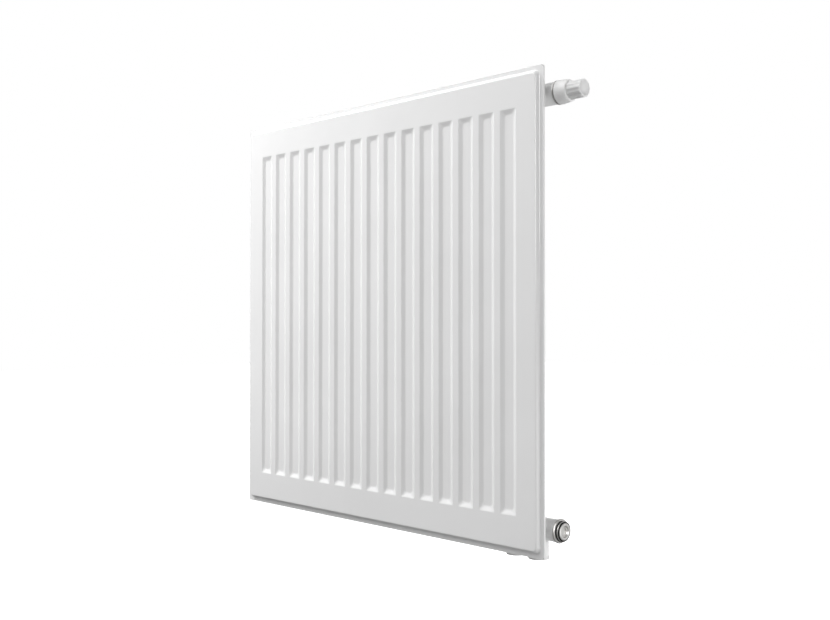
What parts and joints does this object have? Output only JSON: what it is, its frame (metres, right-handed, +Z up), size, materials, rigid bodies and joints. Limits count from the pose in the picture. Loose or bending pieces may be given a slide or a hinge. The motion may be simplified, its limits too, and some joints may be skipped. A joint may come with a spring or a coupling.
{
  "type": "panel radiator with valve",
  "caption": "Single flat steel panel radiator with vertical pressed grooves, a built-in valve insert under a screw cap, and bottom connections.",
  "frame": {"origin": "centre of the mouth of the return connection, the outer of the two bottom stubs", "axes": "+X along the panel towards the valve side, +Y from the front face into the wall, +Z up"},
  "size_m": [0.6579, 0.044, 0.605],
  "materials": {
    "front_enamel": "satin white enamel, baked",
    "back_enamel": "satin white enamel, thinner on the back",
    "boss_enamel": "satin pale grey enamel",
    "bare_steel": "bare steel",
    "nickel_plate": "nickel plate over turned brass",
    "seal_rubber": "black rubber, matt",
    "brass": "turned brass",
    "stainless": "stainless steel, drawn and turned",
    "white_plastic": "moulded white plastic, fine satin"
  },
  "bodies": {
    "panel": {"front_sheet": "front_enamel", "rear_sheet": "back_enamel", "riser_pipe": "back_enamel", "lug_top_right": "back_enamel", "lug_top_left": "back_enamel", "lug_bottom_right": "back_enamel", "lug_bottom_left": "back_enamel", "valve_boss": "boss_enamel", "return_boss": "boss_enamel", "vent_boss": "boss_enamel", "blank_boss": "boss_enamel", "return_connector": "boss_enamel", "supply_connector": "boss_enamel", "spacer_valve_corner": "bare_steel", "spacer_return_corner": "bare_steel", "spacer_vent_corner": "bare_steel", "spacer_blank_corner": "bare_steel", "valve_body": "nickel_plate", "return_plug": "nickel_plate", "blank_plug": "nickel_plate", "vent_plug": "nickel_plate", "valve_nose_seal": "seal_rubber", "valve_ring_seal": "seal_rubber", "gland_seal": "seal_rubber", "return_plug_inner_seal": "seal_rubber", "return_plug_outer_seal": "seal_rubber", "blank_plug_seal": "seal_rubber", "vent_plug_seal": "seal_rubber", "gland_nut": "brass", "valve_spring": "stainless"},
    "cap_carriage": {"cap_thrust_pad": "brass"},
    "cap": {"valve_cap": "white_plastic"},
    "spindle": {"valve_spindle": "stainless", "valve_disc": "brass", "valve_disc_seal": "seal_rubber"},
    "bleed": {"bleed_screw": "stainless"},
    "vent_swivel": {"vent_outlet": "white_plastic"}
  },
  "joints": [
    {"name": "cap_travel", "type": "slide", "parent": "panel", "child": "cap_carriage", "axis": [1, 0, 0], "range_m": [0, 0.003]},
    {"name": "cap_turn", "type": "hinge", "parent": "cap_carriage", "child": "cap", "pos_m": [0.05, 0, 0.572], "axis": [1, 0, 0], "range_deg": [0, 720]},
    {"name": "pin_travel", "type": "slide", "parent": "panel", "child": "spindle", "axis": [1, 0, 0], "range_m": [0, 0.003], "deforming": ["valve_spring"]},
    {"name": "bleed_turn", "type": "hinge", "parent": "panel", "child": "bleed", "pos_m": [-0.58, 0, 0.572], "axis": [-1, 0, 0], "range_deg": [0, 360]},
    {"name": "vent_swivel_turn", "type": "hinge", "parent": "panel", "child": "vent_swivel", "pos_m": [-0.58, 0, 0.572], "axis": [-1, 0, 0], "continuous": true}
  ],
  "couplings": [
    {"joint": "cap_travel", "follows": "cap_turn", "m_per_rad": 0.00023873},
    {"joint": "pin_travel", "follows": "cap_turn", "m_per_rad": 0.00023873}
  ]
}
